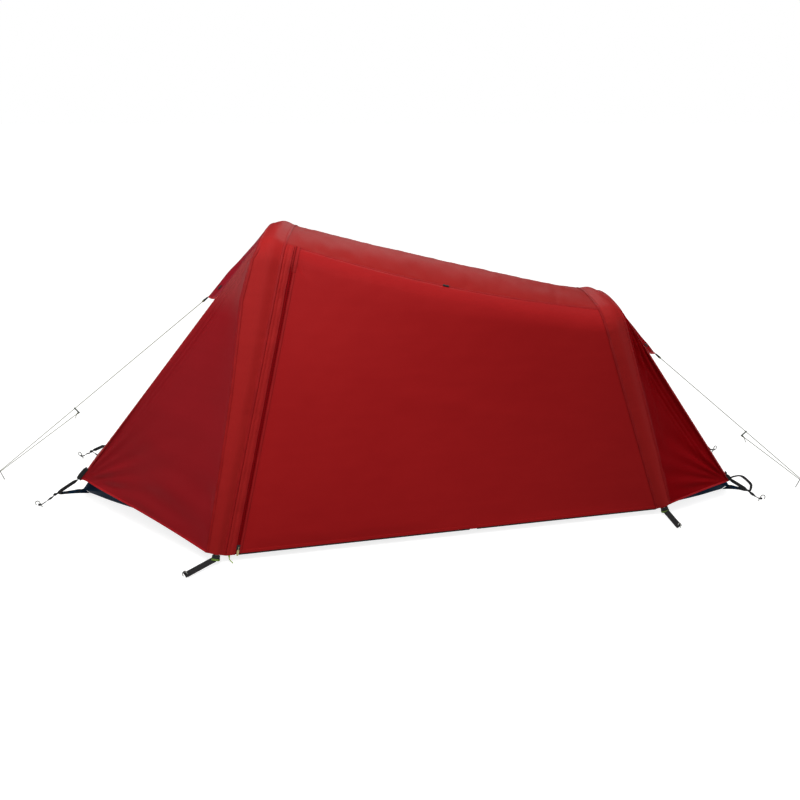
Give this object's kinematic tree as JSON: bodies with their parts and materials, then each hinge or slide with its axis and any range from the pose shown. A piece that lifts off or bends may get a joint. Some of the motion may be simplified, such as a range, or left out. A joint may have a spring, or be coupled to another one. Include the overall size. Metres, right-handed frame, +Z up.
{
  "type": "tunnel tent",
  "caption": "Low two-hoop tunnel tent for one person with sleeved poles, zipped side door, hooded end vents, inner tent, guylines and pegs.",
  "frame": {"origin": "middle of the floor's underside between the two sides, on the ground, 0.64 m behind the front hoop's feet", "axes": "+X from the taller hoop to the lower hoop along the tent, +Y away from the door side, +Z up"},
  "size_m": [3.3078, 1.4908, 1.1923],
  "materials": {
    "ripstop_roof": "coated ripstop nylon, soft sheen",
    "ripstop_sleeve": "coated ripstop nylon, soft sheen",
    "ripstop_fly": "coated ripstop nylon, soft sheen",
    "netting": "fine mesh netting",
    "inner_cloth": "breathable plain weave",
    "coated_floor": "coated waterproof cloth",
    "webbing": "woven tape",
    "black_plastic": "moulded, matte",
    "pole_alloy": "anodised tube",
    "peg_alloy": "bare wire",
    "slider_metal": "dull plated",
    "guyline_cord": "braided cord"
  },
  "bodies": {
    "tent": {"corner_buckle_front_far": "black_plastic", "corner_buckle_front_near": "black_plastic", "corner_buckle_rear_far": "black_plastic", "corner_buckle_rear_near": "black_plastic", "corner_strap_front_far": "webbing", "corner_strap_front_near": "webbing", "corner_strap_rear_far": "webbing", "corner_strap_rear_near": "webbing", "door_toggle": "black_plastic", "fly_far_side": "ripstop_fly", "fly_front_end_face": "ripstop_fly", "fly_front_end_far": "ripstop_fly", "fly_front_end_near": "ripstop_fly", "fly_near_side": "ripstop_fly", "fly_rear_end_face": "ripstop_fly", "fly_rear_end_far": "ripstop_fly", "fly_rear_end_near": "ripstop_fly", "fly_roof": "ripstop_roof", "foot_strap_front_far": "webbing", "foot_strap_front_near": "webbing", "foot_strap_rear_far": "webbing", "foot_strap_rear_near": "webbing", "front_guyline": "guyline_cord", "front_hood": "ripstop_fly", "front_pole_crown": "pole_alloy", "front_pole_far_leg": "pole_alloy", "front_pole_near_leg": "pole_alloy", "front_pole_sleeve": "ripstop_sleeve", "front_vent_mesh": "netting", "groundsheet_tub": "coated_floor", "inner_far_wall": "inner_cloth", "inner_front_end": "inner_cloth", "inner_near_wall": "inner_cloth", "inner_rear_end": "inner_cloth", "rear_guyline": "guyline_cord", "rear_hood": "ripstop_fly", "rear_pole_crown": "pole_alloy", "rear_pole_far_leg": "pole_alloy", "rear_pole_near_leg": "pole_alloy", "rear_pole_sleeve": "ripstop_sleeve", "rear_vent_mesh": "netting", "storm_flap": "ripstop_sleeve", "zip_tape_frame": "webbing"},
    "door": {"fly_door": "ripstop_fly", "zip_tape_door": "webbing"},
    "slider": {"zip_slider": "slider_metal"},
    "puller": {"zip_puller": "black_plastic"},
    "inner_door_panel": {"inner_door": "netting"},
    "corner_peg_front_near_body": {"corner_peg_front_near": "peg_alloy"},
    "foot_peg_front_near_body": {"foot_peg_front_near": "peg_alloy"},
    "corner_peg_front_far_body": {"corner_peg_front_far": "peg_alloy"},
    "foot_peg_front_far_body": {"foot_peg_front_far": "peg_alloy"},
    "corner_peg_rear_near_body": {"corner_peg_rear_near": "peg_alloy"},
    "foot_peg_rear_near_body": {"foot_peg_rear_near": "peg_alloy"},
    "corner_peg_rear_far_body": {"corner_peg_rear_far": "peg_alloy"},
    "foot_peg_rear_far_body": {"foot_peg_rear_far": "peg_alloy"},
    "front_guy_peg_body": {"front_guy_peg": "peg_alloy"},
    "front_guy_runner_body": {"front_guy_runner": "black_plastic"},
    "rear_guy_peg_body": {"rear_guy_peg": "peg_alloy"},
    "rear_guy_runner_body": {"rear_guy_runner": "black_plastic"}
  },
  "joints": [
    {"name": "door_fold", "type": "hinge", "parent": "tent", "child": "door", "pos_m": [-0.35586, -0.2639, 0.92733], "axis": [-0.5532, 0.1893, 0.8112], "range_deg": [0, 160]},
    {"name": "zip_slide", "type": "slide", "parent": "tent", "child": "slider", "axis": [0.1917, 0.37, 0.909], "range_m": [0, 0.951]},
    {"name": "puller_swing", "type": "hinge", "parent": "slider", "child": "puller", "pos_m": [-0.56008, -0.6302, 0.04838], "axis": [-0.9649, -0.0986, 0.2435], "range_deg": [0, 150]},
    {"name": "inner_door_fold", "type": "hinge", "parent": "tent", "child": "inner_door_panel", "pos_m": [-0.43604, -0.45506, 0.15739], "axis": [-0.9913, -0.131, 0.0138], "range_deg": [0, 75]},
    {"name": "corner_peg_front_near_pull", "type": "slide", "parent": "tent", "child": "corner_peg_front_near_body", "axis": [-0.2919, -0.1014, 0.9511], "range_m": [0, 0.155]},
    {"name": "foot_peg_front_near_pull", "type": "slide", "parent": "tent", "child": "foot_peg_front_near_body", "axis": [-0.2121, -0.2248, 0.9511], "range_m": [0, 0.155]},
    {"name": "corner_peg_front_far_pull", "type": "slide", "parent": "tent", "child": "corner_peg_front_far_body", "axis": [-0.2919, 0.1014, 0.9511], "range_m": [0, 0.155]},
    {"name": "foot_peg_front_far_pull", "type": "slide", "parent": "tent", "child": "foot_peg_front_far_body", "axis": [-0.2121, 0.2248, 0.9511], "range_m": [0, 0.155]},
    {"name": "corner_peg_rear_near_pull", "type": "slide", "parent": "tent", "child": "corner_peg_rear_near_body", "axis": [0.2862, -0.1166, 0.9511], "range_m": [0, 0.155]},
    {"name": "foot_peg_rear_near_pull", "type": "slide", "parent": "tent", "child": "foot_peg_rear_near_body", "axis": [0.0455, -0.3056, 0.9511], "range_m": [0, 0.155]},
    {"name": "corner_peg_rear_far_pull", "type": "slide", "parent": "tent", "child": "corner_peg_rear_far_body", "axis": [0.2862, 0.1166, 0.9511], "range_m": [0, 0.155]},
    {"name": "foot_peg_rear_far_pull", "type": "slide", "parent": "tent", "child": "foot_peg_rear_far_body", "axis": [0.0455, 0.3056, 0.9511], "range_m": [0, 0.155]},
    {"name": "front_guy_peg_pull", "type": "slide", "parent": "tent", "child": "front_guy_peg_body", "axis": [-0.3089, 0.0068, 0.9511], "range_m": [0, 0.155]},
    {"name": "front_guy_runner_slide", "type": "slide", "parent": "tent", "child": "front_guy_runner_body", "axis": [-0.7829, 0.0142, -0.622], "range_m": [-0.08, 0.08], "deforming": ["front_guyline"]},
    {"name": "rear_guy_peg_pull", "type": "slide", "parent": "tent", "child": "rear_guy_peg_body", "axis": [0.3029, -0.0612, 0.9511], "range_m": [0, 0.155]},
    {"name": "rear_guy_runner_slide", "type": "slide", "parent": "tent", "child": "rear_guy_runner_body", "axis": [0.7664, -0.1503, -0.6245], "range_m": [-0.08, 0.08], "deforming": ["rear_guyline"]}
  ],
  "couplings": [
    {"joint": "zip_slide", "follows": "door_fold", "m_per_rad": 0.3405}
  ]
}
